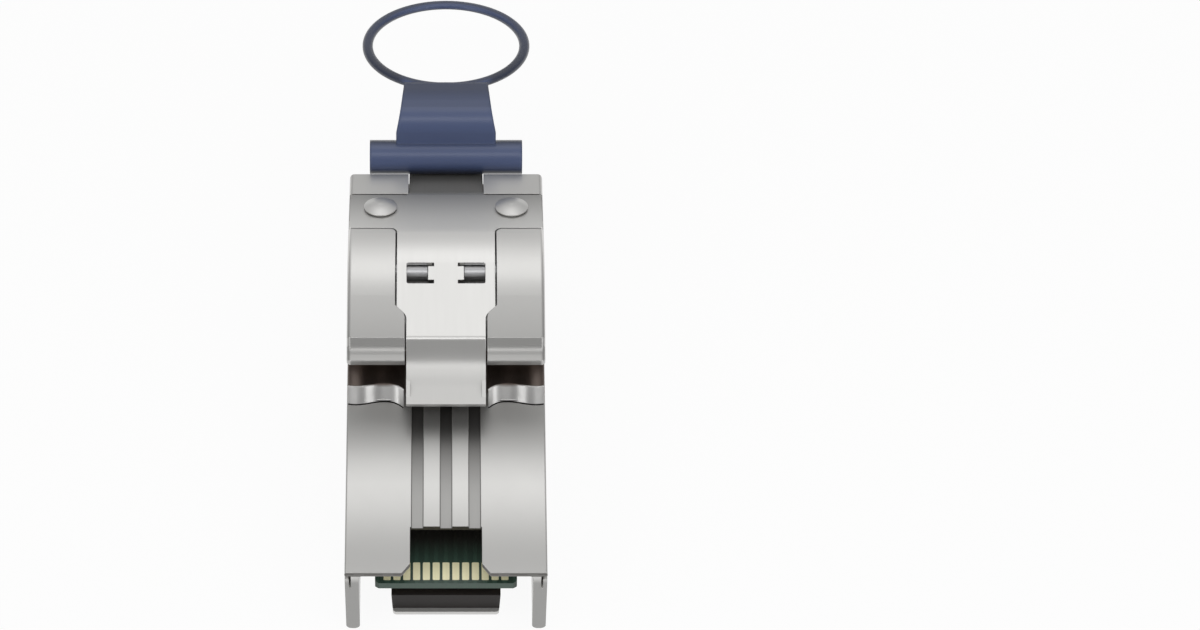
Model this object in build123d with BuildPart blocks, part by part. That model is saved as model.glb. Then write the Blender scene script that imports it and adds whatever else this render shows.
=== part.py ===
"""External mini SAS cable end: plug nose, housing, rocking latch and pull tab.

Millimetres. The plug's nose points along -Y, the cable inlet and the pull ring along +Y,
and the housing stands on Z = 0. The origin is under the middle of the whole length.
"""

import os
from math import cos, radians, sin, sqrt, tan

from build123d import *

os.makedirs("parts", exist_ok=True)

# Contacts, which set the scale of everything else
CONTACT_COUNT = 13
CONTACT_PITCH = 0.80
CONTACT_WIDTH = 0.58
CONTACT_LENGTH = 1.65
GOLD_THICKNESS = 0.04

# Housing widths and heights
BODY_WIDTH = 16.4
PARTING_Z = 4.6
CREASE_Z = 13.5
BAND_FRONT_Z = 13.3
BAND_REAR_Z = 11.5
REAR_EDGE_Z = 10.8
SHELL_WALL = 1.2
CAVITY_HALF = 6.9

# Plug nose
NOSE_TOP = 9.4
NOSE_TOP_WALL = 0.55
RAIL_BOTTOM = 0.5
RAIL_WALL = 0.62
RAIL_LIP = 0.33
RAIL_SLIT = 0.17
RAIL_SLIT_DEPTH = 2.45
RAIL_LIP_DROP = 0.48

# Pull ring and its tilt, drooping towards the rear
RING_RADIUS = 6.83
RING_SECTION = 0.90
RING_THICKNESS = 0.62
RING_DROOP = 21.0
RING_CENTRE_BACK = 52.72
RING_CENTRE_Z = 10.5

# Distances behind the nose's front edge
LIP_BACK = 18.3
CREASE_BACK = 20.1
SHELL_FRONT_BACK = 20.5
WINDOW_CENTRE_BACK = 26.3
PIVOT_BACK = 27.15
BAND_FRONT_BACK = 31.3
BAND_REAR_BACK = 36.0
REAR_EDGE_BACK = 38.7
BAR_BACK = 40.47

# Latch
SHEET = 0.35
LEAF = 0.20
PIVOT_Z = 12.65
PIVOT_RADIUS = 0.40
POCKET_FLOOR_Z = 10.9
BAR_Z = 10.8
BAR_RADIUS = 1.46
BAR_LENGTH = 13.0
TAB_PIN_RADIUS = 0.50
RUNNING_GAP = 0.02
SIDE_GAP = 0.12
TAIL_GAP = 0.06

ring_reach = RING_RADIUS * cos(radians(RING_DROOP)) + sqrt(
    (RING_SECTION / 2 * cos(radians(RING_DROOP))) ** 2
    + (RING_THICKNESS / 2 * sin(radians(RING_DROOP))) ** 2
)
OVERALL_LENGTH = RING_CENTRE_BACK + ring_reach
NOSE_FRONT = -OVERALL_LENGTH / 2


def y(back):
    """Y of a station that lies this far behind the nose's front edge."""
    return NOSE_FRONT + back


def side_points(*points):
    """Side-view points (distance behind the nose's front edge, height) on the YZ plane."""
    return [(y(back), height) for back, height in points]


def block(x_size, back_from, back_to, z_from, z_to, x_centre=0.0):
    """A plain block between two stations and two heights, kept apart from any open part."""
    centre = Vector(x_centre, y((back_from + back_to) / 2), (z_from + z_to) / 2)
    return Pos(centre) * Box(x_size, back_to - back_from, z_to - z_from, mode=Mode.PRIVATE)


# The band of the latch and the ledge under it lie on one slope
BAND_SLOPE = (BAND_FRONT_Z - BAND_REAR_Z) / (BAND_REAR_BACK - BAND_FRONT_BACK)
BAND_STRETCH = sqrt(1 + BAND_SLOPE**2)
CROWN_KNEE_BACK = 29.3
CROWN_KNEE_Z = BAND_FRONT_Z + BAND_SLOPE * (BAND_FRONT_BACK - CROWN_KNEE_BACK)
CROWN_RADIUS = 9.0
# The shell's own crown beside the tongue is rounder
PANEL_KNEE_BACK = 27.4
PANEL_KNEE_Z = BAND_FRONT_Z + BAND_SLOPE * (BAND_FRONT_BACK - PANEL_KNEE_BACK)
PANEL_RADIUS = 13.0


def band_z(back, below=0.0):
    """Height of the band's slope at a station, a perpendicular depth below its top."""
    return BAND_FRONT_Z - BAND_SLOPE * (back - BAND_FRONT_BACK) - below * BAND_STRETCH


# Plan of the latch tongue
TIP_BACK = 14.9
TIP_Z = 11.4
TIP_HALF = 3.29
TONGUE_HALF = 4.10
TAIL_HALF = 3.13
JOG_FRONT_BACK = 22.25
JOG_REAR_BACK = 23.0
BAND_HALF = 8.1


def latch_plan(gap):
    """Half plan of the latch, wider by a gap, as corner points on the +X side."""
    return [
        (0, y(TIP_BACK - gap)),
        (TIP_HALF + gap, y(TIP_BACK - gap)),
        (TIP_HALF + gap, y(JOG_FRONT_BACK)),
        (TONGUE_HALF + gap, y(JOG_REAR_BACK)),
        (TONGUE_HALF + gap, y(BAND_FRONT_BACK)),
        (BAND_HALF, y(BAND_FRONT_BACK)),
        (BAND_HALF, y(BAND_REAR_BACK)),
        (TAIL_HALF + gap, y(BAND_REAR_BACK)),
        (TAIL_HALF + gap, y(BAR_BACK + 4)),
        (0, y(BAR_BACK + 4)),
    ]


PLAN_RADII = [0, 0.1, 0.9, 0.15, 0.6, 0.15, 0.15, 0.3, 0, 0]

# Upper shell: crowned top, overhanging lip, latch channel, band ledge and inlet
LIP_UNDER_Z = 12.1
LIP_TOP_Z = 12.7
LIP_STEP_BACK = 19.3
LIP_STEP_Z = 12.82
NOSE_GAP = 0.05
SPIGOT_HALF = 6.95
SPIGOT_BACK = 17.6
SPIGOT_TOP = NOSE_TOP - NOSE_TOP_WALL - 0.05
LEDGE_DEPTH = SHEET + LEAF + 0.02
CORNER_ROUND = 0.5
BOSS_BACK = 32.4
BOSS_X = 5.3
SCREW_RADIUS = 0.7
FERRULE_OUTER = 3.3
FERRULE_BORE = 2.9
FERRULE_FLANGE = 3.9
INLET_Z = PARTING_Z
RIVET_X = 5.53
RIVET_BACK = 34.05
RIVET_HEAD = 1.39
RIVET_SHANK = 0.7
RIVET_TAIL = 1.1
RIVET_TAIL_DEPTH = 0.3

band_plane = Plane(
    origin=(0, y(RIVET_BACK), band_z(RIVET_BACK)),
    x_dir=(1, 0, 0),
    z_dir=(0, BAND_SLOPE, 1),
)

with BuildPart() as upper_shell:
    with BuildSketch(Plane.YZ):
        with BuildLine():
            FilletPolyline(
                side_points(
                    (SHELL_FRONT_BACK, PARTING_Z),
                    (SHELL_FRONT_BACK, NOSE_TOP + NOSE_GAP),
                    (SHELL_FRONT_BACK, LIP_UNDER_Z),
                    (LIP_BACK, LIP_UNDER_Z),
                    (LIP_BACK, LIP_TOP_Z),
                    (LIP_STEP_BACK, LIP_STEP_Z),
                    (CREASE_BACK, CREASE_Z),
                    (PANEL_KNEE_BACK, PANEL_KNEE_Z),
                    (BAND_REAR_BACK, BAND_REAR_Z),
                    (REAR_EDGE_BACK, REAR_EDGE_Z),
                    (REAR_EDGE_BACK, PARTING_Z),
                ),
                radius=[0, 0, 0, 0, 0.12, 1.4, 0.15, PANEL_RADIUS, 0.6, 0.15, 0],
                close=True,
            )
        make_face()
    extrude(amount=BODY_WIDTH / 2, both=True)
    # Soft long edges along both sides of the crown
    fillet(
        upper_shell.edges()
        .filter_by(lambda e: abs(abs(e.center().X) - BODY_WIDTH / 2) < 1e-6)
        .filter_by(lambda e: e.center().Z > REAR_EDGE_Z - 0.3 and e.center().Y > y(CREASE_BACK)),
        radius=0.35,
    )
    # Front spigot that the nose slides over
    add(block(2 * SPIGOT_HALF, SPIGOT_BACK, SHELL_FRONT_BACK + 0.5, PARTING_Z, SPIGOT_TOP))
    # Hollow inside
    add(
        block(2 * CAVITY_HALF, SHELL_FRONT_BACK + 1.2, 34.6, PARTING_Z, POCKET_FLOOR_Z - 1.3),
        mode=Mode.SUBTRACT,
    )
    add(
        block(2 * CAVITY_HALF, 34.0, REAR_EDGE_BACK - SHELL_WALL, PARTING_Z, INLET_Z + 4.0),
        mode=Mode.SUBTRACT,
    )
    add(
        block(2 * SPIGOT_HALF - 2.0, SPIGOT_BACK, SHELL_FRONT_BACK + 2, PARTING_Z, SPIGOT_TOP - 1.0),
        mode=Mode.SUBTRACT,
    )
    # Latch pocket under the tongue, open to the front through the lip
    with BuildSketch(Plane.XY.offset(POCKET_FLOOR_Z)):
        with BuildLine():
            FilletPolyline(
                latch_plan(SIDE_GAP)[:5] + [(0, y(BAND_FRONT_BACK))],
                radius=PLAN_RADII[:5] + [0],
                close=True,
            )
        make_face()
        mirror(about=Plane.YZ)
    extrude(amount=6, mode=Mode.SUBTRACT)
    add(block(2 * (TONGUE_HALF + SIDE_GAP), 30.0, 33.0, POCKET_FLOOR_Z, 15), mode=Mode.SUBTRACT)
    # Sloped ledge under the band
    with BuildSketch(Plane.YZ):
        with BuildLine():
            Polyline(
                side_points(
                    (BAND_FRONT_BACK - SIDE_GAP, band_z(BAND_FRONT_BACK - SIDE_GAP, LEDGE_DEPTH)),
                    (BAND_REAR_BACK + SIDE_GAP, band_z(BAND_REAR_BACK + SIDE_GAP, LEDGE_DEPTH)),
                    (BAND_REAR_BACK + SIDE_GAP, 15),
                    (BAND_FRONT_BACK - SIDE_GAP, 15),
                ),
                close=True,
            )
        make_face()
    extrude(amount=BODY_WIDTH, both=True, mode=Mode.SUBTRACT)
    # Rounded corners where the pocket meets the ledge, as on the latch plate
    for side in (-1, 1):
        corner_x = TONGUE_HALF + SIDE_GAP
        corner_y = y(BAND_FRONT_BACK - SIDE_GAP)
        with BuildSketch(Plane.XY.offset(band_z(BAND_FRONT_BACK - SIDE_GAP, LEDGE_DEPTH))):
            with Locations((side * (corner_x + CORNER_ROUND / 2), corner_y - CORNER_ROUND / 2)):
                Rectangle(CORNER_ROUND, CORNER_ROUND)
            with Locations((side * (corner_x + CORNER_ROUND), corner_y - CORNER_ROUND)):
                Circle(CORNER_ROUND, mode=Mode.SUBTRACT)
        extrude(amount=3, mode=Mode.SUBTRACT)
    # Channel for the tail, between the rear pads
    with BuildSketch(Plane.YZ):
        with BuildLine():
            Polyline(
                side_points(
                    (BAND_REAR_BACK - 0.6, band_z(BAND_REAR_BACK, LEDGE_DEPTH) - 0.05),
                    (REAR_EDGE_BACK + 1, 8.8),
                    (REAR_EDGE_BACK + 1, 15),
                    (BAND_REAR_BACK - 0.6, 15),
                ),
                close=True,
            )
        make_face()
    extrude(amount=TAIL_HALF + TAIL_GAP, both=True, mode=Mode.SUBTRACT)
    # Wells for the rivets' formed tails
    with BuildSketch(band_plane.offset(-LEDGE_DEPTH)):
        with Locations((-RIVET_X, 0), (RIVET_X, 0)):
            Circle(RIVET_TAIL + 0.3)
    extrude(amount=-(RIVET_TAIL_DEPTH + 0.15), mode=Mode.SUBTRACT)
    # Cross hole for the pivot pin
    with Locations(Location((0, y(PIVOT_BACK), PIVOT_Z), (0, 90, 0))):
        Cylinder(PIVOT_RADIUS, BODY_WIDTH + 2, mode=Mode.SUBTRACT)
    # Upper half of the cable inlet
    with Locations(Location((0, y(REAR_EDGE_BACK), INLET_Z), (90, 0, 0))):
        Cylinder(FERRULE_OUTER, 4, mode=Mode.SUBTRACT)
    # Screw bosses hanging from the roof
    for side in (-1, 1):
        with BuildSketch(Plane.XY.offset(PARTING_Z)):
            with Locations((side * BOSS_X, y(BOSS_BACK))):
                Circle(1.55)
                Circle(SCREW_RADIUS, mode=Mode.SUBTRACT)
        extrude(amount=5.2)
        # Rib that presses on the card from above
        add(block(1.0, 24.2, 25.0, 5.9, POCKET_FLOOR_Z - 1.2, side * 5.2))

upper_shell.part.label = "upper_shell"
export_step(upper_shell.part, "parts/upper_shell.step")

# Lower shell: tray with a flat underside, posts under the card and counterbored screw holes
FLOOR = 1.1
SCREW_HEAD = 1.2
SCREW_HEAD_HEIGHT = 0.8
CARD_BOTTOM = 4.9
CARD_THICKNESS = 1.0

with BuildPart() as lower_shell:
    with BuildSketch(Plane.YZ):
        with BuildLine():
            FilletPolyline(
                side_points(
                    (SHELL_FRONT_BACK, PARTING_Z),
                    (SHELL_FRONT_BACK, 0),
                    (REAR_EDGE_BACK, 0),
                    (REAR_EDGE_BACK, PARTING_Z),
                ),
                radius=[0, 0.4, 0.6, 0],
                close=True,
            )
        make_face()
    extrude(amount=BODY_WIDTH / 2, both=True)
    fillet(
        lower_shell.edges()
        .filter_by(Axis.Y)
        .filter_by(lambda e: e.center().Z < 0.1),
        radius=0.6,
    )
    add(block(2 * SPIGOT_HALF, SPIGOT_BACK, SHELL_FRONT_BACK + 0.5, 1.0, PARTING_Z))
    add(
        block(2 * CAVITY_HALF, SHELL_FRONT_BACK + 1.2, REAR_EDGE_BACK - SHELL_WALL, FLOOR, PARTING_Z),
        mode=Mode.SUBTRACT,
    )
    add(
        block(2 * SPIGOT_HALF - 2.0, SPIGOT_BACK, SHELL_FRONT_BACK + 2, 2.1, PARTING_Z),
        mode=Mode.SUBTRACT,
    )
    with Locations(Location((0, y(REAR_EDGE_BACK), INLET_Z), (90, 0, 0))):
        Cylinder(FERRULE_OUTER, 4, mode=Mode.SUBTRACT)
    for side in (-1, 1):
        with BuildSketch(Plane.XY.offset(FLOOR)):
            with Locations((side * BOSS_X, y(BOSS_BACK))):
                Circle(1.55)
        extrude(amount=PARTING_Z - FLOOR)
        # Post under the card's rear corner, a little above the parting plane
        add(block(1.4, 24.0, 25.4, FLOOR, CARD_BOTTOM, side * 5.0))
    with Locations((-BOSS_X, y(BOSS_BACK), 0), (BOSS_X, y(BOSS_BACK), 0)):
        Cylinder(SCREW_RADIUS + 0.1, 12, mode=Mode.SUBTRACT)
        Cylinder(
            SCREW_HEAD + 0.1,
            SCREW_HEAD_HEIGHT + 0.2,
            align=(Align.CENTER, Align.CENTER, Align.MIN),
            mode=Mode.SUBTRACT,
        )

lower_shell.part.label = "lower_shell"
export_step(lower_shell.part, "parts/lower_shell.step")

# Waved contact strips on the nose: plan of the wave, from the strip's inner to its outer end
STRIP_THICKNESS = 0.14
STRIP_HEIGHT = 1.5
STRIP_LEAN = 35.0
STRIP_BACK = 16.3
STRIP_INNER = 3.5
STRIP_OUTER = 8.1
STRIP_GROOVE = 0.13
STRIP_GROOVE_DEPTH = 0.25
wave_points = [(STRIP_INNER, -0.34), (5.55, 0.26), (7.0, 0.0), (STRIP_OUTER, 0.05)]

# Nose: grooved top wall with a notched window, and two side rails with a hem-like outer lip
GROOVE_WIDTH = 1.0
GROOVE_PITCH = 2.34
GROOVE_DEPTH = 0.28
WINDOW_HALF = 2.92
WINDOW_REAR_BACK = 4.38
FLARE_BACK = 0.9
FLARE_HALF = 3.6
RAIL_LENGTH = SHELL_FRONT_BACK - 0.05
rail_outer = BODY_WIDTH / 2
rail_main_outer = rail_outer - RAIL_LIP - RAIL_SLIT
rail_main_inner = rail_main_outer - RAIL_WALL

with BuildPart() as nose_shroud:
    with BuildSketch(Plane.XZ.offset(-y(RAIL_LENGTH))):
        with BuildLine():
            FilletPolyline(
                (0, NOSE_TOP),
                (rail_outer, NOSE_TOP),
                (rail_outer, NOSE_TOP - NOSE_TOP_WALL),
                (rail_main_outer, NOSE_TOP - NOSE_TOP_WALL),
                (rail_main_outer, NOSE_TOP - RAIL_SLIT_DEPTH),
                (rail_outer - RAIL_LIP, NOSE_TOP - RAIL_SLIT_DEPTH),
                (rail_outer - RAIL_LIP, NOSE_TOP - NOSE_TOP_WALL - RAIL_LIP_DROP),
                (rail_outer, NOSE_TOP - NOSE_TOP_WALL - RAIL_LIP_DROP),
                (rail_outer, RAIL_BOTTOM),
                (rail_main_inner, RAIL_BOTTOM),
                (rail_main_inner, NOSE_TOP - NOSE_TOP_WALL),
                (0, NOSE_TOP - NOSE_TOP_WALL),
                radius=[0, 0.15, 0.08, 0.05, 0.07, 0.07, 0.1, 0.1, 0.5, 0.5, 0.3, 0],
                close=True,
            )
        make_face()
        mirror(about=Plane.YZ)
    extrude(amount=RAIL_LENGTH)
    # Notch over the contacts, flared at the front edge
    with BuildSketch(Plane.XY.offset(NOSE_TOP - 1)):
        with BuildLine():
            FilletPolyline(
                (0, y(WINDOW_REAR_BACK)),
                (WINDOW_HALF, y(WINDOW_REAR_BACK)),
                (WINDOW_HALF, y(FLARE_BACK)),
                (FLARE_HALF, y(0)),
                (FLARE_HALF, y(-1)),
                (0, y(-1)),
                radius=[0, 0.12, 0.15, 0, 0, 0],
                close=True,
            )
        make_face()
        mirror(about=Plane.YZ)
    extrude(amount=2, mode=Mode.SUBTRACT)
    # Three grooves from the window back under the latch tip
    groove_end = LIP_BACK - 0.8
    for index in (-1, 0, 1):
        add(
            block(
                GROOVE_WIDTH,
                WINDOW_REAR_BACK - 0.5,
                groove_end,
                NOSE_TOP - GROOVE_DEPTH,
                NOSE_TOP + 1,
                index * GROOVE_PITCH,
            ),
            mode=Mode.SUBTRACT,
        )
    # Narrow waved groove in front of each contact strip
    groove_middle = STRIP_BACK - (STRIP_THICKNESS + STRIP_GROOVE) / 2
    for side in (-1, 1):
        with BuildSketch(Plane.XY.offset(NOSE_TOP - STRIP_GROOVE_DEPTH)):
            with BuildLine():
                Spline([(side * x, y(groove_middle + wave)) for x, wave in wave_points])
            trace(line_width=STRIP_GROOVE)
        extrude(amount=1, mode=Mode.SUBTRACT)

nose_shroud.part.label = "nose_shroud"
export_step(nose_shroud.part, "parts/nose_shroud.step")

# Contact springs: a waved strip leaning back over the nose, with a flat foot behind it
STRIP_FOOT_BACK = 20.3


def gasket_spring(side):
    """One waved strip with its foot, on the -X or the +X side."""
    with BuildPart() as strip:
        with BuildSketch(Plane.XY.offset(NOSE_TOP)):
            with BuildLine():
                Spline([(side * x, y(STRIP_BACK + wave)) for x, wave in wave_points])
            trace(line_width=STRIP_THICKNESS)
        extrude(amount=STRIP_HEIGHT, dir=(0, sin(radians(STRIP_LEAN)), cos(radians(STRIP_LEAN))))
        middle = (STRIP_INNER + STRIP_OUTER) / 2
        add(
            block(
                STRIP_OUTER - STRIP_INNER - 0.1,
                STRIP_BACK + 0.2,
                STRIP_FOOT_BACK,
                NOSE_TOP,
                NOSE_TOP + STRIP_THICKNESS,
                side * middle,
            )
        )
    return strip.part


for side, side_name in ((-1, "left"), (1, "right")):
    spring = gasket_spring(side)
    spring.label = f"gasket_spring_{side_name}"
    export_step(spring, f"parts/gasket_spring_{side_name}.step")

# Latch plate: one sheet bent in side view, cut to its plan, with two windows and folded ears
HOOK_RADIUS = TAB_PIN_RADIUS + RUNNING_GAP + SHEET / 2
TAIL_LOW_Z = 8.3
WINDOW_INNER = 1.0
EAR_FACE = 1.5
LATCH_WINDOW_OUTER = 3.27
LATCH_WINDOW_LENGTH = 2.0
SLIT = 0.34
EAR_EYE_RADIUS = 0.8
HOLE_GAP = 0.03
CATCH_LENGTH = 1.5
CATCH_HEIGHT = 0.6
ear_half = LATCH_WINDOW_LENGTH / 2 - SLIT
crown_slope = (CROWN_KNEE_Z - CREASE_Z) / (CROWN_KNEE_BACK - CREASE_BACK)
mid_knee_back = CROWN_KNEE_BACK - (BAND_STRETCH - sqrt(1 + crown_slope**2)) * SHEET / 2 / (
    crown_slope + BAND_SLOPE
)
ear_fold_z = CREASE_Z + crown_slope * (WINDOW_CENTRE_BACK - CREASE_BACK) - SHEET / 2

with BuildPart() as latch_plate:
    with BuildSketch(Plane.YZ):
        with BuildLine():
            FilletPolyline(
                side_points(
                    (TIP_BACK, TIP_Z - SHEET / 2),
                    (18.3, TIP_Z - SHEET / 2),
                    (CREASE_BACK, CREASE_Z - SHEET / 2),
                    (mid_knee_back, band_z(mid_knee_back, SHEET / 2)),
                    (BAND_REAR_BACK, band_z(BAND_REAR_BACK, SHEET / 2)),
                    (BAR_BACK + HOOK_RADIUS, TAIL_LOW_Z),
                    (BAR_BACK + HOOK_RADIUS, BAR_Z),
                ),
                radius=[4.4, 0.4, CROWN_RADIUS, 2.0, 0.6],
            )
            CenterArc((y(BAR_BACK), BAR_Z), HOOK_RADIUS, 0, 232)
        trace(line_width=SHEET)
    extrude(amount=BODY_WIDTH / 2, both=True)
    with BuildSketch(Plane.XY) as plan:
        with BuildLine():
            FilletPolyline(latch_plan(0), radius=PLAN_RADII, close=True)
        make_face()
        mirror(about=Plane.YZ)
    extrude(amount=20, mode=Mode.INTERSECT)
    # Windows, with a relief slit on each side of the ear
    for side in (-1, 1):
        window_width = LATCH_WINDOW_OUTER - EAR_FACE
        window_x = side * (LATCH_WINDOW_OUTER + EAR_FACE) / 2
        with BuildSketch(Plane.XY.offset(CREASE_Z - 1)):
            with Locations((window_x, y(WINDOW_CENTRE_BACK))):
                RectangleRounded(window_width, LATCH_WINDOW_LENGTH, 0.16)
            slit_x = side * (WINDOW_INNER + EAR_FACE + 0.1) / 2
            for end in (-1, 1):
                with Locations((slit_x, y(WINDOW_CENTRE_BACK) + end * (ear_half + SLIT / 2))):
                    Rectangle(EAR_FACE - WINDOW_INNER + 0.1, SLIT)
        extrude(amount=3, mode=Mode.SUBTRACT)
        # Ear folded down from the window, swept back to an eye round the pivot pin
        with BuildSketch(Plane.YZ.offset(side * EAR_FACE)):
            with Locations((y(WINDOW_CENTRE_BACK), ear_fold_z)):
                Rectangle(2 * ear_half, SHEET / 2)
            with Locations((y(PIVOT_BACK), PIVOT_Z)):
                Circle(EAR_EYE_RADIUS)
            make_hull()
            with Locations((y(PIVOT_BACK), PIVOT_Z)):
                Circle(PIVOT_RADIUS + HOLE_GAP, mode=Mode.SUBTRACT)
        extrude(amount=-side * SHEET)
        # Catch ear turned up along each side edge of the tip
        with BuildSketch(Plane.YZ.offset(side * TIP_HALF)):
            with BuildLine():
                Polyline(
                    side_points(
                        (TIP_BACK + 0.5, TIP_Z - 0.1),
                        (TIP_BACK + 0.5 + CATCH_LENGTH, TIP_Z + CATCH_HEIGHT),
                        (TIP_BACK + 0.5 + CATCH_LENGTH, TIP_Z - 0.1),
                    ),
                    close=True,
                )
            make_face()
        extrude(amount=-side * SHEET)
    # Rivet holes
    with BuildSketch(band_plane.offset(1)):
        with Locations((-RIVET_X, 0), (RIVET_X, 0)):
            Circle(RIVET_SHANK)
    extrude(amount=-2, mode=Mode.SUBTRACT)

latch_plate.part.label = "latch_plate"
export_step(latch_plate.part, "parts/latch_plate.step")

# Return leaf: riveted under the band, its finger pressing on the pocket floor ahead of the pivot
LEAF_FRONT_BACK = 32.2
LEAF_REAR_BACK = 35.7
LEAF_TOUCH_BACK = 22.9
LEAF_HALF = 7.3
FINGER_HALF = 0.95

with BuildPart() as return_leaf:
    with BuildSketch(Plane.YZ):
        with BuildLine():
            FilletPolyline(
                side_points(
                    (LEAF_REAR_BACK, band_z(LEAF_REAR_BACK, SHEET + LEAF / 2)),
                    (LEAF_FRONT_BACK, band_z(LEAF_FRONT_BACK, SHEET + LEAF / 2)),
                    (LEAF_TOUCH_BACK, POCKET_FLOOR_Z + LEAF / 2 + 0.02),
                    (LEAF_TOUCH_BACK - 0.9, POCKET_FLOOR_Z + LEAF / 2 + 0.35),
                ),
                radius=[1.2, 0.8],
            )
        trace(line_width=LEAF)
    extrude(amount=LEAF_HALF, both=True)
    with BuildSketch(Plane.XY):
        with BuildLine():
            FilletPolyline(
                (0, y(LEAF_REAR_BACK + 1)),
                (LEAF_HALF, y(LEAF_REAR_BACK + 1)),
                (LEAF_HALF, y(LEAF_FRONT_BACK + 0.35)),
                (FINGER_HALF, y(LEAF_FRONT_BACK + 0.35)),
                (FINGER_HALF, y(LEAF_TOUCH_BACK - 2)),
                (0, y(LEAF_TOUCH_BACK - 2)),
                radius=[0, 0, 0.4, 0.3, 0, 0],
                close=True,
            )
        make_face()
        mirror(about=Plane.YZ)
    extrude(amount=20, mode=Mode.INTERSECT)
    with BuildSketch(band_plane.offset(1)):
        with Locations((-RIVET_X, 0), (RIVET_X, 0)):
            Circle(RIVET_SHANK)
    extrude(amount=-3, mode=Mode.SUBTRACT)

return_leaf.part.label = "return_leaf"
export_step(return_leaf.part, "parts/return_leaf.step")

# Rivets: domed head, shank through band and leaf, formed tail below
RIVET_DOME = 0.54
RIVET_RIM = 0.22
RIVET_COLLAR = 1.12
RIVET_COLLAR_HEIGHT = 0.13
dome_rise = RIVET_DOME - RIVET_RIM
dome_radius = (RIVET_HEAD**2 + dome_rise**2) / (2 * dome_rise)
dome_middle_x = RIVET_HEAD / 2
dome_middle_z = RIVET_DOME - dome_radius + sqrt(dome_radius**2 - dome_middle_x**2)
rivet_depth = SHEET + LEAF

with BuildPart() as latch_rivets:
    for side in (-1, 1):
        rivet_plane = Plane(
            origin=band_plane.from_local_coords((side * RIVET_X, 0, 0)),
            x_dir=band_plane.x_dir,
            z_dir=band_plane.z_dir,
        )
        section_plane = Plane(
            origin=rivet_plane.origin, x_dir=rivet_plane.x_dir, z_dir=-rivet_plane.y_dir
        )
        with BuildSketch(section_plane):
            with BuildLine():
                Polyline(
                    (0, RIVET_DOME),
                    (0, -rivet_depth - RIVET_TAIL_DEPTH),
                    (RIVET_TAIL - 0.1, -rivet_depth - RIVET_TAIL_DEPTH),
                    (RIVET_TAIL, -rivet_depth),
                    (RIVET_SHANK, -rivet_depth),
                    (RIVET_SHANK, 0),
                    (RIVET_COLLAR, 0),
                    (RIVET_COLLAR, RIVET_COLLAR_HEIGHT),
                    (RIVET_HEAD, RIVET_COLLAR_HEIGHT),
                    (RIVET_HEAD, RIVET_RIM),
                )
                ThreePointArc((RIVET_HEAD, RIVET_RIM), (dome_middle_x, dome_middle_z), (0, RIVET_DOME))
            make_face()
        revolve(axis=Axis(rivet_plane.origin, rivet_plane.z_dir), revolution_arc=360)

latch_rivets.part.label = "latch_rivets"
export_step(latch_rivets.part, "parts/latch_rivets.step")

# Pivot pin across the housing
with BuildPart() as pivot_pin:
    with Locations(Location((0, y(PIVOT_BACK), PIVOT_Z), (0, 90, 0))):
        Cylinder(PIVOT_RADIUS, BODY_WIDTH - 0.3)
    chamfer(pivot_pin.edges().filter_by(GeomType.CIRCLE), length=0.08)

pivot_pin.part.label = "pivot_pin"
export_step(pivot_pin.part, "parts/pivot_pin.step")

# Sleeves on the pivot pin, which keep the latch in the middle of its channel
SLEEVE_RADIUS = 0.84
SLEEVE_INNER = EAR_FACE + 0.04
SLEEVE_OUTER = TONGUE_HALF + SIDE_GAP - 0.03

with BuildPart() as pivot_sleeves:
    for side in (-1, 1):
        with BuildSketch(Plane.YZ.offset(side * SLEEVE_INNER)):
            with Locations((y(PIVOT_BACK), PIVOT_Z)):
                Circle(SLEEVE_RADIUS)
                Circle(PIVOT_RADIUS, mode=Mode.SUBTRACT)
        extrude(amount=side * (SLEEVE_OUTER - SLEEVE_INNER))

pivot_sleeves.part.label = "pivot_sleeves"
export_step(pivot_sleeves.part, "parts/pivot_sleeves.step")

# Pull tab: slotted bar, arched neck and flat-sided ring
NECK_THICKNESS = 0.95
NECK_BAR_HALF = 4.25
NECK_RING_HALF = 3.62
NECK_RISE_RADIUS = 1.5
NECK_DROOP_RADIUS = 5.0
BAR_CAVITY_RADIUS = HOOK_RADIUS + SHEET / 2 + 0.12
BAR_CAVITY_HALF = TAIL_HALF + 0.15
SLOT_FROM = 216
SLOT_REACH = 3.0
SLOT_WALL = HOOK_RADIUS + SHEET / 2 + 0.05
ring_axis = Vector(0, sin(radians(RING_DROOP)), cos(radians(RING_DROOP)))
ring_centre = Vector(0, y(RING_CENTRE_BACK), RING_CENTRE_Z)
ring_plane = Plane(origin=ring_centre, x_dir=(1, 0, 0), z_dir=ring_axis)
neck_rise_back = BAR_BACK + 1.65
neck_rise_z = BAR_Z + 3.1
neck_knee_back = BAR_BACK + 4.15
neck_ring_back = RING_CENTRE_BACK - RING_RADIUS * cos(radians(RING_DROOP))
neck_ring_z = RING_CENTRE_Z + RING_RADIUS * sin(radians(RING_DROOP))
neck_knee_z = neck_ring_z + (neck_ring_back - neck_knee_back) * tan(radians(RING_DROOP))

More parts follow.
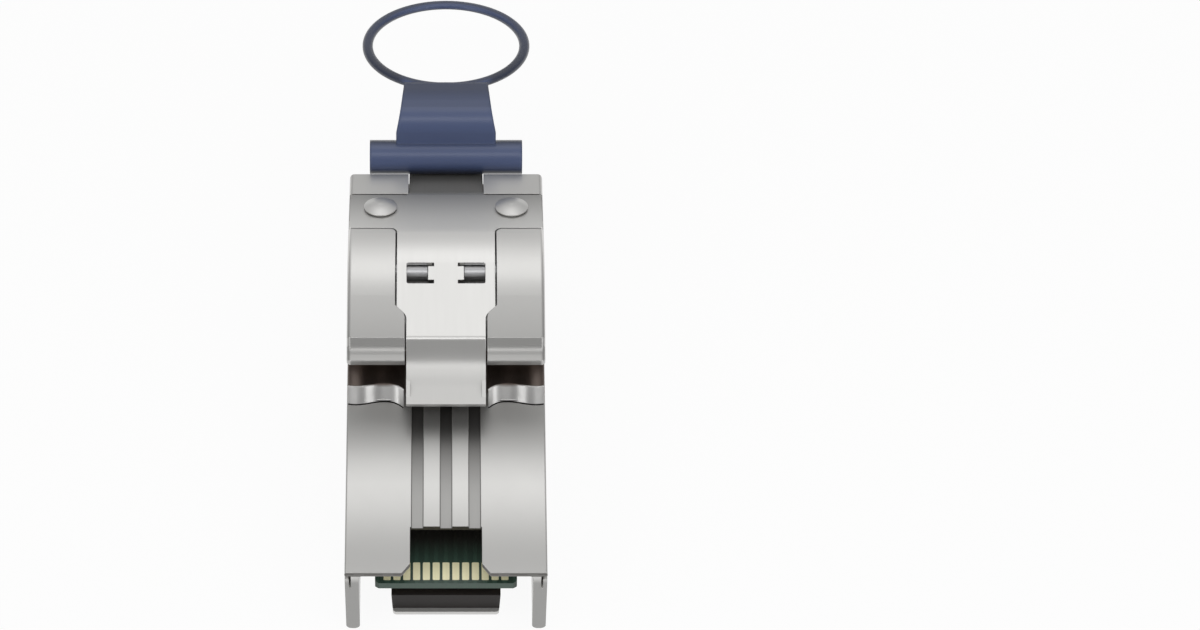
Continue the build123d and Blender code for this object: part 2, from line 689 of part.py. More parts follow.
with BuildPart() as pull_tab:
    # Arched neck, cut to its flared plan
    with BuildSketch(Plane.YZ):
        with BuildLine():
            FilletPolyline(
                side_points(
                    (BAR_BACK + 0.35, BAR_Z + 0.35),
                    (neck_rise_back, neck_rise_z),
                    (neck_knee_back, neck_knee_z),
                    (neck_ring_back, neck_ring_z),
                ),
                radius=[NECK_RISE_RADIUS, NECK_DROOP_RADIUS],
            )
        trace(line_width=NECK_THICKNESS)
    extrude(amount=NECK_BAR_HALF + 1, both=True)
    with BuildSketch(Plane.XY):
        with BuildLine():
            Line((0, y(BAR_BACK)), (NECK_BAR_HALF, y(BAR_BACK)))
            Line((NECK_BAR_HALF, y(BAR_BACK)), (NECK_BAR_HALF, y(BAR_BACK + 0.8)))
            Spline(
                (NECK_BAR_HALF, y(BAR_BACK + 0.8)),
                (NECK_RING_HALF + 0.12, y(BAR_BACK + 4.0)),
                (NECK_RING_HALF, y(neck_ring_back)),
                tangents=((-0.35, 1), (0, 1)),
            )
            Line((NECK_RING_HALF, y(neck_ring_back)), (NECK_RING_HALF, y(neck_ring_back + 1.2)))
            Line((NECK_RING_HALF, y(neck_ring_back + 1.2)), (0, y(neck_ring_back + 1.2)))
            Line((0, y(neck_ring_back + 1.2)), (0, y(BAR_BACK)))
        make_face()
        mirror(about=Plane.YZ)
    extrude(amount=25, mode=Mode.INTERSECT)
    # Bar
    with Locations(Location((0, y(BAR_BACK), BAR_Z), (0, 90, 0))):
        Cylinder(BAR_RADIUS, BAR_LENGTH)
    # Ring of a flat-sided oval section
    with BuildSketch(Plane(origin=ring_centre, x_dir=(1, 0, 0), z_dir=-ring_plane.y_dir)):
        with Locations((RING_RADIUS, 0)):
            RectangleRounded(RING_SECTION, RING_THICKNESS, RING_THICKNESS / 2 - 0.01)
    revolve(axis=Axis(ring_centre, ring_axis), revolution_arc=360)
    # Bore for the steel pin, and room for the latch's hook inside the bar, open below
    with Locations(Location((0, y(BAR_BACK), BAR_Z), (0, 90, 0))):
        Cylinder(TAB_PIN_RADIUS, BAR_LENGTH + 1, mode=Mode.SUBTRACT)
        Cylinder(BAR_CAVITY_RADIUS, 2 * BAR_CAVITY_HALF, mode=Mode.SUBTRACT)
    with BuildSketch(Plane.YZ):
        with BuildLine():
            bar_centre = Vector(y(BAR_BACK), BAR_Z)
            slot_start = Vector(cos(radians(SLOT_FROM)), sin(radians(SLOT_FROM))) * SLOT_REACH
            Polyline(
                bar_centre,
                bar_centre + slot_start,
                bar_centre + Vector(0, -SLOT_REACH),
                bar_centre + Vector(SLOT_WALL, -SLOT_REACH),
                bar_centre + Vector(SLOT_WALL, 0),
                close=True,
            )
        make_face()
    extrude(amount=BAR_CAVITY_HALF, both=True, mode=Mode.SUBTRACT)

pull_tab.part.label = "pull_tab"
export_step(pull_tab.part, "parts/pull_tab.step")

# Pin moulded into the bar, which the latch's hook turns on
with BuildPart() as tab_pin:
    with Locations(Location((0, y(BAR_BACK), BAR_Z), (0, 90, 0))):
        Cylinder(TAB_PIN_RADIUS, BAR_LENGTH - 0.4)

tab_pin.part.label = "tab_pin"
export_step(tab_pin.part, "parts/tab_pin.step")

# Paddle card with a bevelled front edge, its contacts and its solder pads
CARD_FRONT_BACK = 1.1
CARD_REAR_BACK = 27.4
CARD_HALF = 5.79
CARD_TOP = CARD_BOTTOM + CARD_THICKNESS

with BuildPart() as paddle_card:
    add(block(2 * CARD_HALF, CARD_FRONT_BACK, CARD_REAR_BACK, CARD_BOTTOM, CARD_TOP))
    chamfer(
        paddle_card.edges()
        .filter_by(Axis.Z)
        .filter_by(lambda e: e.center().Y < y(CARD_FRONT_BACK) + 0.1),
        length=0.3,
    )
    chamfer(
        paddle_card.faces().sort_by(Axis.Y)[0].edges().filter_by(Axis.X).sort_by(Axis.Z)[0],
        length=0.25,
        length2=0.18,
    )

paddle_card.part.label = "paddle_card"
export_step(paddle_card.part, "parts/paddle_card.step")

contact_y = y(CARD_FRONT_BACK + 0.3 + CONTACT_LENGTH / 2)
SOLDER_COUNT = 8
SOLDER_PITCH = 1.3
SOLDER_WIDTH = 0.7
SOLDER_LENGTH = 1.6
solder_y = y(CARD_REAR_BACK - 0.3 - SOLDER_LENGTH / 2)


def pad_row(count, pitch, width, length, y_centre, z_from):
    """A row of thin pads side by side, as separate solids."""
    with BuildPart() as row:
        with BuildSketch(Plane.XY.offset(z_from)):
            with Locations((0, y_centre)):
                with GridLocations(pitch, 1, count, 1):
                    Rectangle(width, length)
        extrude(amount=GOLD_THICKNESS)
    return row.part


pad_rows = {
    "top_contacts": (CONTACT_COUNT, CONTACT_PITCH, CONTACT_WIDTH, CONTACT_LENGTH, contact_y, CARD_TOP),
    "bottom_contacts": (
        CONTACT_COUNT,
        CONTACT_PITCH,
        CONTACT_WIDTH,
        CONTACT_LENGTH,
        contact_y,
        CARD_BOTTOM - GOLD_THICKNESS,
    ),
    "top_solder_pads": (SOLDER_COUNT, SOLDER_PITCH, SOLDER_WIDTH, SOLDER_LENGTH, solder_y, CARD_TOP),
    "bottom_solder_pads": (
        SOLDER_COUNT,
        SOLDER_PITCH,
        SOLDER_WIDTH,
        SOLDER_LENGTH,
        solder_y,
        CARD_BOTTOM - GOLD_THICKNESS,
    ),
}
for row_name, row_values in pad_rows.items():
    row_part = pad_row(*row_values)
    row_part.label = row_name
    export_step(row_part, f"parts/{row_name}.step")

# Card insert: block under the card's front, and a bulkhead that the card passes through
INSERT_HALF = 4.47
INSERT_BOTTOM = 1.9
INSERT_TOP = 4.0
INSERT_FRONT_BACK = 1.1
BULKHEAD_FRONT_BACK = 14.6
BULKHEAD_BACK = SPIGOT_BACK - 0.05
BULKHEAD_HALF = rail_main_inner - 0.15
FLOOR_PLATE = 0.4

with BuildPart() as card_insert:
    with BuildSketch(Plane.XZ.offset(-y(INSERT_FRONT_BACK))):
        with BuildLine():
            Polyline(
                (INSERT_HALF, INSERT_TOP),
                (INSERT_HALF - 0.08, INSERT_BOTTOM),
                (-INSERT_HALF + 0.08, INSERT_BOTTOM),
                (-INSERT_HALF, INSERT_TOP),
                close=True,
            )
        make_face()
    extrude(amount=-(BULKHEAD_FRONT_BACK + 0.5 - INSERT_FRONT_BACK))
    # Step that carries the card behind its contacts
    add(block(2 * INSERT_HALF, 6.0, BULKHEAD_FRONT_BACK + 0.5, INSERT_TOP - 0.1, CARD_BOTTOM))
    add(block(2 * BULKHEAD_HALF, BULKHEAD_FRONT_BACK, BULKHEAD_BACK, RAIL_BOTTOM + 0.6, SPIGOT_TOP))
    add(
        block(2 * CARD_HALF, BULKHEAD_FRONT_BACK - 1, BULKHEAD_BACK + 1, CARD_BOTTOM, CARD_TOP),
        mode=Mode.SUBTRACT,
    )
    # Seat for the floor plate
    add(
        block(
            2 * INSERT_HALF,
            BULKHEAD_FRONT_BACK - 1,
            BULKHEAD_FRONT_BACK + 1.5,
            INSERT_BOTTOM - FLOOR_PLATE,
            INSERT_BOTTOM,
        ),
        mode=Mode.SUBTRACT,
    )

card_insert.part.label = "card_insert"
export_step(card_insert.part, "parts/card_insert.step")

# Floor plate: thin strip under the insert, a little ahead of it
with BuildPart() as floor_plate:
    add(
        block(
            2 * (INSERT_HALF - 0.1),
            0.72,
            BULKHEAD_FRONT_BACK + 1.5,
            INSERT_BOTTOM - FLOOR_PLATE,
            INSERT_BOTTOM,
        )
    )
    fillet(
        floor_plate.edges()
        .filter_by(Axis.Z)
        .filter_by(lambda e: e.center().Y < y(1)),
        radius=0.3,
    )

floor_plate.part.label = "floor_plate"
export_step(floor_plate.part, "parts/floor_plate.step")

# Flanged ferrule in the cable inlet
FERRULE_FRONT_BACK = 34.2
FERRULE_REAR_BACK = 39.0
inlet_wall_back = REAR_EDGE_BACK - SHELL_WALL

with BuildPart() as cable_ferrule:
    with BuildSketch(Plane.YZ):
        with BuildLine():
            Polyline(
                side_points(
                    (FERRULE_FRONT_BACK, INLET_Z + FERRULE_BORE),
                    (FERRULE_REAR_BACK, INLET_Z + FERRULE_BORE),
                    (FERRULE_REAR_BACK, INLET_Z + FERRULE_OUTER),
                    (inlet_wall_back, INLET_Z + FERRULE_OUTER),
                    (inlet_wall_back, INLET_Z + FERRULE_FLANGE - 0.5),
                    (inlet_wall_back - 0.5, INLET_Z + FERRULE_FLANGE - 0.5),
                    (inlet_wall_back - 0.5, INLET_Z + FERRULE_OUTER),
                    (FERRULE_FRONT_BACK, INLET_Z + FERRULE_OUTER),
                ),
                close=True,
            )
        make_face()
    revolve(axis=Axis((0, 0, INLET_Z), (0, 1, 0)), revolution_arc=360)

cable_ferrule.part.label = "cable_ferrule"
export_step(cable_ferrule.part, "parts/cable_ferrule.step")

# Two screws from below, with a hexagonal socket
SCREW_LENGTH = 7.0

with BuildPart() as shell_screws:
    for side in (-1, 1):
        with Locations((side * BOSS_X, y(BOSS_BACK), 0.2)):
            Cylinder(SCREW_HEAD, SCREW_HEAD_HEIGHT, align=(Align.CENTER, Align.CENTER, Align.MIN))
            Cylinder(SCREW_RADIUS, SCREW_LENGTH + 0.8, align=(Align.CENTER, Align.CENTER, Align.MIN))
        with BuildSketch(Plane.XY.offset(0.2)):
            with Locations((side * BOSS_X, y(BOSS_BACK))):
                RegularPolygon(0.55, 6)
        extrude(amount=0.5, mode=Mode.SUBTRACT)

shell_screws.part.label = "shell_screws"
export_step(shell_screws.part, "parts/shell_screws.step")

print(f"overall length {OVERALL_LENGTH:.2f}, nose front at y {NOSE_FRONT:.3f}")
print(f"pivot at y {y(PIVOT_BACK):.3f} z {PIVOT_Z}, bar axis at y {y(BAR_BACK):.3f} z {BAR_Z}")
print(f"ring centre at y {y(RING_CENTRE_BACK):.3f} z {RING_CENTRE_Z}")
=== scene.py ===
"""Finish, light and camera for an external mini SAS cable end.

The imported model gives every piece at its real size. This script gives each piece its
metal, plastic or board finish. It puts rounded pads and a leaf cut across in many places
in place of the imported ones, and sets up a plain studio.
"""

from collections import namedtuple
from math import cos, pi, radians, sin

import bmesh
import bpy
from bpy.props import FloatProperty, FloatVectorProperty, IntProperty, PointerProperty
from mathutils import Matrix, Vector


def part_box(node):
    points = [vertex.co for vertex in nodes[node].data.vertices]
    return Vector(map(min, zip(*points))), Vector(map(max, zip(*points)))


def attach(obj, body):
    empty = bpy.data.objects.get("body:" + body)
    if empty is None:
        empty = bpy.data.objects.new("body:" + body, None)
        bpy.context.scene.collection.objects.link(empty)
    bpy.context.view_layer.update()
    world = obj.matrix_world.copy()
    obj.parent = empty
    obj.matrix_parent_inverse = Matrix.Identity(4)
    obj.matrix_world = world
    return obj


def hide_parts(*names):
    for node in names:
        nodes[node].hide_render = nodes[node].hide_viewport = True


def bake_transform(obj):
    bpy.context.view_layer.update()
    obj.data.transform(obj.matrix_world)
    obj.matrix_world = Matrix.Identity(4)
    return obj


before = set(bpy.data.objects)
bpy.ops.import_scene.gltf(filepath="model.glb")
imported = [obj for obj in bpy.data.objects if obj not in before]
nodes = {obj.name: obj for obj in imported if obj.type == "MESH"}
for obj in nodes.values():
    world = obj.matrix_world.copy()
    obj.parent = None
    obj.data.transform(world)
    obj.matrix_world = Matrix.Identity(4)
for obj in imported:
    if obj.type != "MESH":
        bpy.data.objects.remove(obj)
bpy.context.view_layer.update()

bl_info = {
    "name": "Mini SAS cable end",
    "version": (1, 0, 0),
    "blender": (4, 5, 0),
    "location": "3D View > Sidebar > Cable End",
    "description": "Finishes, small parts, light and camera for a plug end with a pull ring",
    "category": "Object",
}

MM = 0.001
UP = (0, 0, 1)
FORWARD = (0, -1, 0)
FORWARD_UP = (0, -0.6, 0.8)

# Patterns: stretch along X, Y and Z, and cells per metre
EVEN = (1, 1, 1)
GRAIN_SCALE = 5200
CLOUD_SCALE = 260
BEVEL_SAMPLES = 6

# Fixed colours, all of them painted shade, and relief
MOUTH_SHADE = (0.20, 0.165, 0.145)
CUT_FACE_SHADE = (0.06, 0.055, 0.05)
GROOVE_SHADE = (0.035, 0.032, 0.030)
STRIP_SHADE = (0.22, 0.18, 0.16)
CARD_SHADE = (0.018, 0.014, 0.013)
EDGE_SHINE = 1.12
CAST_GRAIN_DEPTH = 0.0000016
SHEET_GRAIN_DEPTH = 0.0000006

# Sizes of features that the finishes follow, from front to back unless they say otherwise
LIP_DEPTH = 2.0 * MM
BAND_DEPTH = 5.0 * MM
BAND_BEHIND_RIVETS = 0.7 * MM
TIP_DEPTH = 3.9 * MM
STRIP_TO_CREST = 1.3 * MM
MOUTH_BEHIND_STRIPS = 5.2 * MM
MOUTH_HEIGHT = 12.05 * MM
GROOVE_PITCH = 2.34 * MM
WAVE_PITCH = 2.1 * MM
WAVE_HEIGHT = 0.05 * MM
CONTACT_PITCH = 0.8 * MM
CONTACT_WIDTH_SHARE = 0.725
SOLDER_WIDTH_SHARE = 0.54
LEAF_CUTS = 28

# Studio: picture size, half the floor's side and the share of plain white seen on it
PICTURE_WIDTH, PICTURE_HEIGHT = 1200, 630
FLOOR_HALF = 3.0
FLOOR_GLOW = 0.93
WINDOW_RISE = radians(56)
LAMP_DISTANCE = 0.50
# Each lamp's name, azimuth, elevation, size and brightness
LAMPS = (
    ("key_right", 54, 42, (0.32, 0.32), 1.15),
    ("key_left", -54, 42, (0.32, 0.32), 1.0),
    ("top_front", 0, 73, (0.34, 0.14), 1.7),
    ("low_right", 33, 13, (0.16, 0.14), 1.8),
    ("low_left", -33, 13, (0.16, 0.14), 1.8),
)

ShellPlaces = namedtuple("ShellPlaces", "lip_front band_front mouth_back mouth_top")


def colour(name, text, value):
    """A colour that a user would change."""
    return FloatVectorProperty(
        name=name, description=text, subtype="COLOR", size=3, min=0, max=1, default=value
    )


def length(name, text, value):
    """A length in metres that a user would change."""
    return FloatProperty(name=name, description=text, default=value, unit="LENGTH", precision=5)


def share(name, text, value):
    """A value from 0 to 1 that a user would change."""
    return FloatProperty(
        name=name, description=text, subtype="FACTOR", min=0, max=1, default=value
    )


def pixels(name, text, value):
    """A number of picture pixels that a user would change."""
    return FloatProperty(name=name, description=text, subtype="PIXEL", default=value)


class CableEndMetals(bpy.types.PropertyGroup):
    """Colours and roughness of the metal pieces."""

    cast_colour: colour("Cast zinc", "Nickel-plated zinc of the housing", (0.61, 0.605, 0.59))
    sheet_colour: colour("Latch sheet", "Stainless sheet of the latch", (0.68, 0.675, 0.66))
    strip_colour: colour("Contact strip", "Bright waved strip", (0.68, 0.675, 0.665))
    steel_colour: colour("Turned steel", "Pins, screws and ferrule", (0.55, 0.55, 0.56))
    cast_roughness: share("Cast roughness", "Roughness of the castings", 0.34)
    sheet_roughness: share("Sheet roughness", "Roughness of the latch sheet", 0.32)
    edge_radius: length("Edge radius", "Soft edge on the metal pieces", 0.00007)


class CableEndPlastics(bpy.types.PropertyGroup):
    """Colours of the moulded pieces and of the board."""

    tab_colour: colour("Pull tab", "Slate blue of the pull tab", (0.039, 0.057, 0.125))
    mask_colour: colour("Solder mask", "Green of the card", (0.030, 0.064, 0.046))
    laminate_colour: colour("Laminate", "Bare edge of the card", (0.022, 0.062, 0.040))
    insert_colour: colour("Insert", "Dark plastic under the card", (0.015, 0.012, 0.011))
    gold_colour: colour("Contacts", "Pale gold of the pads", (1.0, 0.92, 0.60))


class CableEndParts(bpy.types.PropertyGroup):
    """Sizes of the small repeated parts."""

    contact_count: IntProperty(name="Contacts", description="Pads in a row", default=13, min=1)
    solder_count: IntProperty(name="Solder pads", description="Pads at the rear", default=8, min=1)
    pad_corner: length("Pad corner", "Corner radius of a pad", 0.00008)


class CableEndStudio(bpy.types.PropertyGroup):
    """Camera and light."""

    elevation: FloatProperty(
        name="Elevation",
        description="Angle of the camera above the surface",
        subtype="ANGLE",
        default=radians(56),
    )
    distance: length("Distance", "From the camera to the nose's front edge", 0.350)
    pixels_per_mm: pixels("Scale", "Picture pixels per millimetre at the nose", 12.4)
    axis_column: pixels("Axis column", "Picture column of the object's middle", 446)
    nose_row: pixels("Nose row", "Picture row of the nose's front edge", 573)
    floor_brightness: share("Floor brightness", "Paleness of the floor", 0.9)


# Node material helpers


def new_material(name):
    """A material with an empty tree and its output."""
    material = bpy.data.materials.new(name)
    material.use_nodes = True
    tree = material.node_tree
    tree.nodes.clear()
    output = tree.nodes.new("ShaderNodeOutputMaterial")
    shader = tree.nodes.new("ShaderNodeBsdfPrincipled")
    tree.links.new(shader.outputs["BSDF"], output.inputs["Surface"])
    return material, tree, shader


def noise(tree, stretch, scale, detail):
    """Noise over object coordinates that are scaled apart along X, Y and Z."""
    place = tree.nodes.new("ShaderNodeTexCoord")
    mapping = tree.nodes.new("ShaderNodeMapping")
    mapping.inputs["Scale"].default_value = stretch
    tree.links.new(place.outputs["Object"], mapping.inputs["Vector"])
    node = tree.nodes.new("ShaderNodeTexNoise")
    node.inputs["Scale"].default_value = scale
    node.inputs["Detail"].default_value = detail
    node.inputs["Roughness"].default_value = 0.55
    tree.links.new(mapping.outputs["Vector"], node.inputs["Vector"])
    return node.outputs["Fac"]


def spread(tree, value, low, high, value_from=0.0, value_to=1.0, smooth=False):
    """A value's range spread between two numbers, without going beyond them."""
    node = tree.nodes.new("ShaderNodeMapRange")
    node.interpolation_type = "SMOOTHSTEP" if smooth else "LINEAR"
    node.inputs["From Min"].default_value = value_from
    node.inputs["From Max"].default_value = value_to
    node.inputs["To Min"].default_value = low
    node.inputs["To Max"].default_value = high
    tree.links.new(value, node.inputs["Value"])
    return node.outputs["Result"]


def calc(tree, operation, first, second=0.0):
    """Arithmetic on an output and an output or a number."""
    node = tree.nodes.new("ShaderNodeMath")
    node.operation = operation
    tree.links.new(first, node.inputs[0])
    if isinstance(second, (int, float)):
        node.inputs[1].default_value = second
    else:
        tree.links.new(second, node.inputs[1])
    return node.outputs["Value"]


def times(tree, first, *others):
    """The product of an output with more outputs."""
    for other in others:
        first = calc(tree, "MULTIPLY", first, other)
    return first


def vector_calc(tree, operation, first, second=None):
    """Arithmetic on one or two vector outputs."""
    node = tree.nodes.new("ShaderNodeVectorMath")
    node.operation = operation
    tree.links.new(first, node.inputs[0])
    if second:
        tree.links.new(second, node.inputs[1])
    return node.outputs["Vector"]


def blended(tree, amount, plain, other):
    """Two colours, each an output or a plain colour, mixed by the amount of the second."""
    node = tree.nodes.new("ShaderNodeMix")
    node.data_type = "RGBA"
    tree.links.new(amount, node.inputs["Factor"])
    for name, value in (("A", plain), ("B", other)):
        if isinstance(value, tuple):
            node.inputs[name].default_value = (*value, 1)
        else:
            tree.links.new(value, node.inputs[name])
    return node.outputs["Result"]


def place_of(tree):
    """X, Y and Z of the surface, in the object's own metres."""
    place = tree.nodes.new("ShaderNodeTexCoord")
    split = tree.nodes.new("ShaderNodeSeparateXYZ")
    tree.links.new(place.outputs["Object"], split.inputs["Vector"])
    return split.outputs["X"], split.outputs["Y"], split.outputs["Z"]


def facing(tree, axis, least):
    """1 where the face's outward direction along an axis is over a least share, else 0."""
    geometry = tree.nodes.new("ShaderNodeNewGeometry")
    turned = tree.nodes.new("ShaderNodeVectorMath")
    turned.operation = "DOT_PRODUCT"
    turned.inputs[1].default_value = axis
    tree.links.new(geometry.outputs["True Normal"], turned.inputs[0])
    return calc(tree, "GREATER_THAN", turned.outputs["Value"], least)


def shaded(rgb, factor):
    """A colour made darker or lighter."""
    return tuple(min(1.0, channel * factor) for channel in rgb)


def mottled(tree, pattern, rgb, first, second):
    """A colour that a pattern varies between two factors."""
    return blended(tree, pattern, shaded(rgb, first), shaded(rgb, second))


def dress(tree, shader, base, rough, metallic=0.0):
    """Give a shader its colour, its roughness and its share of metal."""
    tree.links.new(base, shader.inputs["Base Color"])
    tree.links.new(rough, shader.inputs["Roughness"])
    shader.inputs["Metallic"].default_value = metallic


def bump(tree, shader, height, depth, edge_radius=0.0, crown=None):
    """Relief of a height in metres, over edges softened by a radius.

    A crown is the slope along Y that a very slightly domed face would have.
    """
    node = tree.nodes.new("ShaderNodeBump")
    node.inputs["Strength"].default_value = 1.0
    node.inputs["Distance"].default_value = depth
    tree.links.new(height, node.inputs["Height"])
    if edge_radius:
        soft = tree.nodes.new("ShaderNodeBevel")
        soft.samples = BEVEL_SAMPLES
        soft.inputs["Radius"].default_value = edge_radius
        outward = soft.outputs["Normal"]
        if crown:
            tilt = tree.nodes.new("ShaderNodeCombineXYZ")
            tree.links.new(crown, tilt.inputs["Y"])
            outward = vector_calc(tree, "ADD", outward, tilt.outputs["Vector"])
            outward = vector_calc(tree, "NORMALIZE", outward)
        tree.links.new(outward, node.inputs["Normal"])
    tree.links.new(node.outputs["Normal"], shader.inputs["Normal"])


def edge_share(tree, radius):
    """1 along edges within a radius, 0 on flats."""
    soft = tree.nodes.new("ShaderNodeBevel")
    soft.samples = BEVEL_SAMPLES
    soft.inputs["Radius"].default_value = radius
    geometry = tree.nodes.new("ShaderNodeNewGeometry")
    turned = tree.nodes.new("ShaderNodeVectorMath")
    turned.operation = "DOT_PRODUCT"
    tree.links.new(soft.outputs["Normal"], turned.inputs[0])
    tree.links.new(geometry.outputs["Normal"], turned.inputs[1])
    return spread(tree, turned.outputs["Value"], 0, 1, 0.995, 0.90)


def plating(tree, rgb):
    """Plated metal with slow clouding."""
    return mottled(tree, noise(tree, EVEN, CLOUD_SCALE, 2), rgb, 0.95, 1.04)


def rubbed_edges(tree, metal, rgb, edge_radius):
    """Metal that is brighter along its edges."""
    return blended(tree, edge_share(tree, edge_radius), metal, shaded(rgb, EDGE_SHINE))


def shell_painted_shading(tree, metal, rgb, shell):
    """Painted shade and light on a shell's top and lip, and painted shade low in its mouths."""
    y, z = place_of(tree)[1:]
    top = facing(tree, UP, 0.5)
    lip_back = shell.lip_front + LIP_DEPTH
    # Painted shade on the top, deeper towards the lip
    towards_lip = spread(tree, y, 1, 0, lip_back, shell.lip_front + 8 * MM)
    metal = blended(tree, times(tree, top, towards_lip), metal, shaded(rgb, 0.74))
    # Painted light on the top, paler in front of the band
    before_band = calc(tree, "LESS_THAN", y, shell.band_front)
    rise = spread(tree, y, 0, 1, shell.lip_front + 7.5 * MM, shell.lip_front + 11 * MM)
    metal = blended(tree, times(tree, top, before_band, rise), metal, shaded(rgb, 1.28))
    # Painted shade on the lip, deepest at its back
    on_lip = times(tree, facing(tree, FORWARD_UP, 0.3), calc(tree, "LESS_THAN", y, lip_back))
    along_lip = spread(tree, y, 0, 1, shell.lip_front, lip_back)
    metal = blended(tree, on_lip, metal, mottled(tree, along_lip, rgb, 0.88, 0.60))
    # Painted shade on faces low down in the mouths
    in_mouth = times(
        tree,
        calc(tree, "LESS_THAN", y, shell.mouth_back),
        calc(tree, "LESS_THAN", z, shell.mouth_top),
        facing(tree, FORWARD, 0.5),
    )
    return blended(tree, in_mouth, metal, MOUTH_SHADE)


def cast_finish(name, rgb, roughness, edge_radius, shell=None):
    """Plated die casting: fine grain, slow clouding and rubbed edges."""
    material, tree, shader = new_material(name)
    fine = noise(tree, EVEN, GRAIN_SCALE, 3)
    metal = rubbed_edges(tree, plating(tree, rgb), rgb, edge_radius)
    if shell:
        metal = shell_painted_shading(tree, metal, rgb, shell)
    dress(tree, shader, metal, spread(tree, fine, roughness - 0.04, roughness + 0.04), 0.85)
    bump(tree, shader, fine, CAST_GRAIN_DEPTH, edge_radius)
    return material


def nose_finish(name, rgb, roughness, edge_radius, low, high):
    """Plated nose: as the castings, with painted shade on the groove floors, the front faces and
    the covered top.
    """
    material, tree, shader = new_material(name)
    x, y, z = place_of(tree)
    top = facing(tree, UP, 0.5)
    ahead = facing(tree, FORWARD, 0.3)
    # Painted shade on the top, deeper towards the rear and a little towards the tip
    rear = spread(tree, y, 0, 1, low.y + 8.5 * MM, low.y + 14.5 * MM)
    tip = spread(tree, y, 1, 0, low.y, low.y + 7.5 * MM)
    metal = blended(tree, times(tree, top, rear), plating(tree, rgb), shaded(rgb, 0.66))
    metal = blended(tree, times(tree, top, tip), metal, shaded(rgb, 0.86))
    metal = rubbed_edges(tree, metal, rgb, edge_radius)
    # Painted shade on the front faces of the side walls, low down
    wall_front = spread(tree, z, 1, 0, high.z - 1.6 * MM, high.z - 0.8 * MM)
    metal = blended(tree, times(tree, wall_front, ahead), metal, shaded(rgb, 0.55))
    # Painted shade where the housing covers the top
    shade_covered = spread(tree, y, 0, 0.9, low.y + 17.0 * MM, low.y + 17.4 * MM)
    metal = blended(tree, times(tree, shade_covered, top), metal, MOUTH_SHADE)
    # Painted shade on the groove floors: darker towards the rear and along their corners
    floor = calc(tree, "GREATER_THAN", z, high.z - 0.35 * MM)
    floor = times(tree, floor, calc(tree, "LESS_THAN", z, high.z - 0.2 * MM))
    from_middle = calc(tree, "PINGPONG", x, GROOVE_PITCH / 2)
    corner = spread(tree, from_middle, 0, 0.75, 0.36 * MM, 0.47 * MM, smooth=True)
    along = spread(tree, y, 0.35, 0.80, low.y + 5 * MM, low.y + 15 * MM)
    floor_shade = times(tree, floor, calc(tree, "MAXIMUM", along, corner))
    metal = blended(tree, floor_shade, metal, GROOVE_SHADE)
    # Painted shade on the faces of the top wall that look forward
    cut_face = times(tree, calc(tree, "GREATER_THAN", z, high.z - 0.6 * MM), ahead)
    cut_edge = spread(tree, y, 0.8, 0.98, low.y, low.y + 3 * MM)
    metal = blended(tree, times(tree, cut_face, cut_edge), metal, CUT_FACE_SHADE)
    # Satin under the latch, polished further forward
    fine = noise(tree, EVEN, GRAIN_SCALE, 3)
    satin = spread(tree, y, 0, 0.12, low.y + 10 * MM, low.y + 14 * MM, smooth=True)
    rough = calc(tree, "ADD", spread(tree, fine, roughness - 0.02, roughness + 0.03), satin)
    dress(tree, shader, metal, rough, 0.8)
    # A slight dome along the length, in radians per metre about its crest
    crown = calc(tree, "MULTIPLY", calc(tree, "SUBTRACT", y, low.y + 8.0 * MM), 32.0)
    bump(tree, shader, fine, CAST_GRAIN_DEPTH, edge_radius, crown)
    return material


def sheet_finish(name, rgb, roughness, edge_radius, band_rear=None, tip_rear=None):
    """Rolled stainless sheet: faint lines along the length.

    Painted light and shade along the band, painted shade on the matt tail and faintly on the satin
    tip.
    """
    material, tree, shader = new_material(name)
    lines = noise(tree, (1, 0.03, 0.03), GRAIN_SCALE, 2)
    sheet = mottled(tree, noise(tree, (1, 0.4, 0.4), 200, 2), rgb, 0.97, 1.03)
    rough = spread(tree, lines, roughness - 0.03, roughness + 0.04)
    y = place_of(tree)[1]
    if band_rear:
        band_front = band_rear - BAND_DEPTH
        satin = spread(tree, y, 0, 0.16, band_front - 1 * MM, band_front + 2 * MM)
        rough = calc(tree, "ADD", rough, satin)
        # Painted light just in front of the band
        band_light = spread(tree, y, 0, 1, band_front - 2.5 * MM, band_front, smooth=True)
        sheet = blended(tree, band_light, sheet, shaded(rgb, 1.25))
        # Painted shade along the band, deepest at its rear
        band_shade = spread(tree, y, 0, 1, band_front, band_rear)
        sheet = blended(tree, band_shade, sheet, shaded(rgb, 0.62))
        # Behind the band: a matt sheet, with painted shade
        matt_and_shade = spread(tree, y, 0, 1, band_rear - 0.1 * MM, band_rear + 0.3 * MM)
        sheet = blended(tree, matt_and_shade, sheet, shaded(rgb, 0.42))
        rough = calc(tree, "ADD", rough, times(tree, matt_and_shade, 0.35))
    if tip_rear:
        # Satin tip, with faint painted shade
        tip = spread(tree, y, 1, 0, tip_rear - 0.8 * MM, tip_rear)
        sheet = blended(tree, tip, sheet, shaded(rgb, 0.97))
        rough = calc(tree, "ADD", rough, times(tree, tip, 0.18))
    dress(tree, shader, sheet, rough, 1.0)
    bump(tree, shader, lines, SHEET_GRAIN_DEPTH, edge_radius)
    return material


def strip_finish(name, rgb, roughness, crest):
    """Bright spring strip with small waves along its width, and painted shade behind its crest."""
    material, tree, shader = new_material(name)
    x, y = place_of(tree)[:2]
    lines = noise(tree, (0.03, 1, 1), GRAIN_SCALE, 2)
    bright = mottled(tree, noise(tree, (1, 0.2, 0.2), 900, 2), rgb, 0.9, 1.05)
    # Painted shade behind the crest
    behind = spread(tree, y, 0, 1, crest, crest + 0.15 * MM)
    strip = blended(tree, behind, bright, STRIP_SHADE)
    dress(tree, shader, strip, spread(tree, lines, roughness - 0.04, roughness + 0.04), 1.0)
    turns = calc(tree, "MULTIPLY", calc(tree, "ABSOLUTE", x), 2 * pi / WAVE_PITCH)
    waves = calc(tree, "MULTIPLY", calc(tree, "SINE", turns), WAVE_HEIGHT)
    bump(tree, shader, waves, 1.0, 0.00003)
    return material


